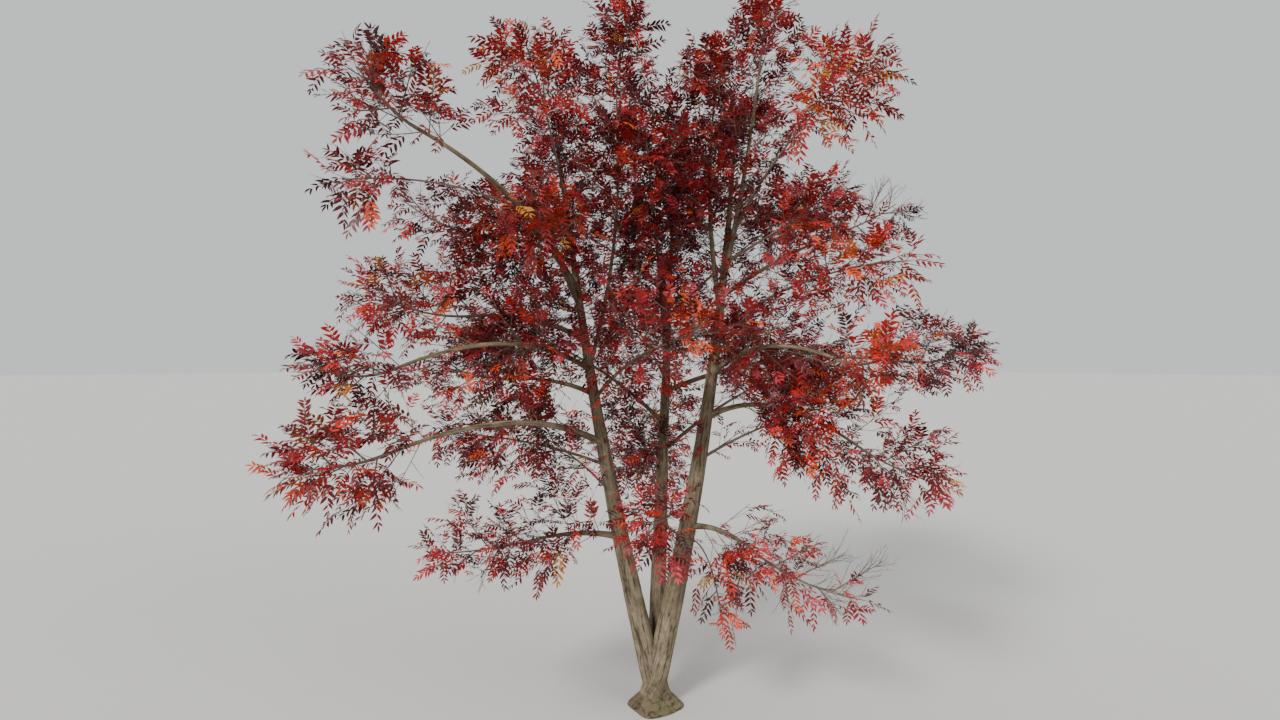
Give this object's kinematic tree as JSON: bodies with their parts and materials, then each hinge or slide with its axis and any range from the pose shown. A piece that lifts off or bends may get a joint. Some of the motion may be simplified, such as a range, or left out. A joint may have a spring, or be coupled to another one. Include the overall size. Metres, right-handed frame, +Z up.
{
  "type": "sourwood tree",
  "caption": "Tall open broadleaf tree with stems forking from one flared root base and a sparse, airy crown of red autumn leaves.",
  "frame": {"origin": "on the flat cut at ground level under the root base, between the feet of the stems", "axes": "+Z up; +X to the right and +Y to the back as seen from the tree's front"},
  "size_m": [12.6377, 10.0494, 13.9096],
  "materials": {
    "bark": "rough furrowed grey-brown bark with green patches",
    "root_bark": "rough blocky dark bark",
    "leaves_crimson": "satin autumn leaves",
    "leaves_scarlet": "satin autumn leaves",
    "leaves_orange": "satin autumn leaves",
    "leaves_russet": "satin autumn leaves"
  },
  "bodies": {
    "root": {"root_base": "root_bark", "stem_left": "bark", "stem_right": "bark", "stem_middle": "bark", "leader_left_outer": "bark", "leader_left_inner": "bark", "leader_right_inner": "bark", "leader_right_outer": "bark", "leader_middle": "bark", "bough_left_lowest": "bark", "bough_left_far": "bark", "bough_left_inner": "bark", "bough_left_near": "bark", "bough_left_upper": "bark", "bough_left_high": "bark", "bough_right_lowest": "bark", "bough_right_drooping": "bark", "bough_right_near": "bark", "bough_right_high": "bark", "bough_right_far": "bark", "bough_crossing": "bark", "foliage_horn": "leaves_crimson", "foliage_hook": "leaves_crimson", "foliage_left_high": "leaves_russet", "foliage_high_left": "leaves_scarlet", "foliage_top_middle": "leaves_crimson", "foliage_top_right_inner": "leaves_scarlet", "foliage_top_right": "leaves_scarlet", "foliage_high_right": "leaves_orange", "foliage_right_top": "leaves_crimson", "foliage_left_top": "leaves_crimson", "foliage_centre_left": "leaves_orange", "foliage_centre_high": "leaves_crimson", "foliage_centre_low": "leaves_russet", "foliage_right_high": "leaves_scarlet", "foliage_right_fan": "leaves_russet", "foliage_right_upper": "leaves_orange", "foliage_right_near": "leaves_orange", "foliage_right_far": "leaves_russet", "foliage_right_middle": "leaves_scarlet", "foliage_right_drooping": "leaves_crimson", "foliage_left_upper": "leaves_scarlet", "foliage_left_near": "leaves_crimson", "foliage_left_far": "leaves_scarlet", "foliage_left_inner": "leaves_crimson", "foliage_left_middle": "leaves_crimson", "foliage_left_stem_side": "leaves_russet", "foliage_left_low": "leaves_crimson", "foliage_front_low": "leaves_crimson", "foliage_middle": "leaves_russet", "foliage_sprig": "leaves_orange", "foliage_right_low": "leaves_scarlet", "foliage_hanging": "leaves_orange", "foliage_back_left_high": "leaves_russet", "foliage_back_right_high": "leaves_crimson", "foliage_back_left": "leaves_crimson", "foliage_back_right": "leaves_russet", "foliage_back_low": "leaves_scarlet", "foliage_back_middle": "leaves_scarlet", "foliage_back_top": "leaves_russet"}
  },
  "joints": []
}
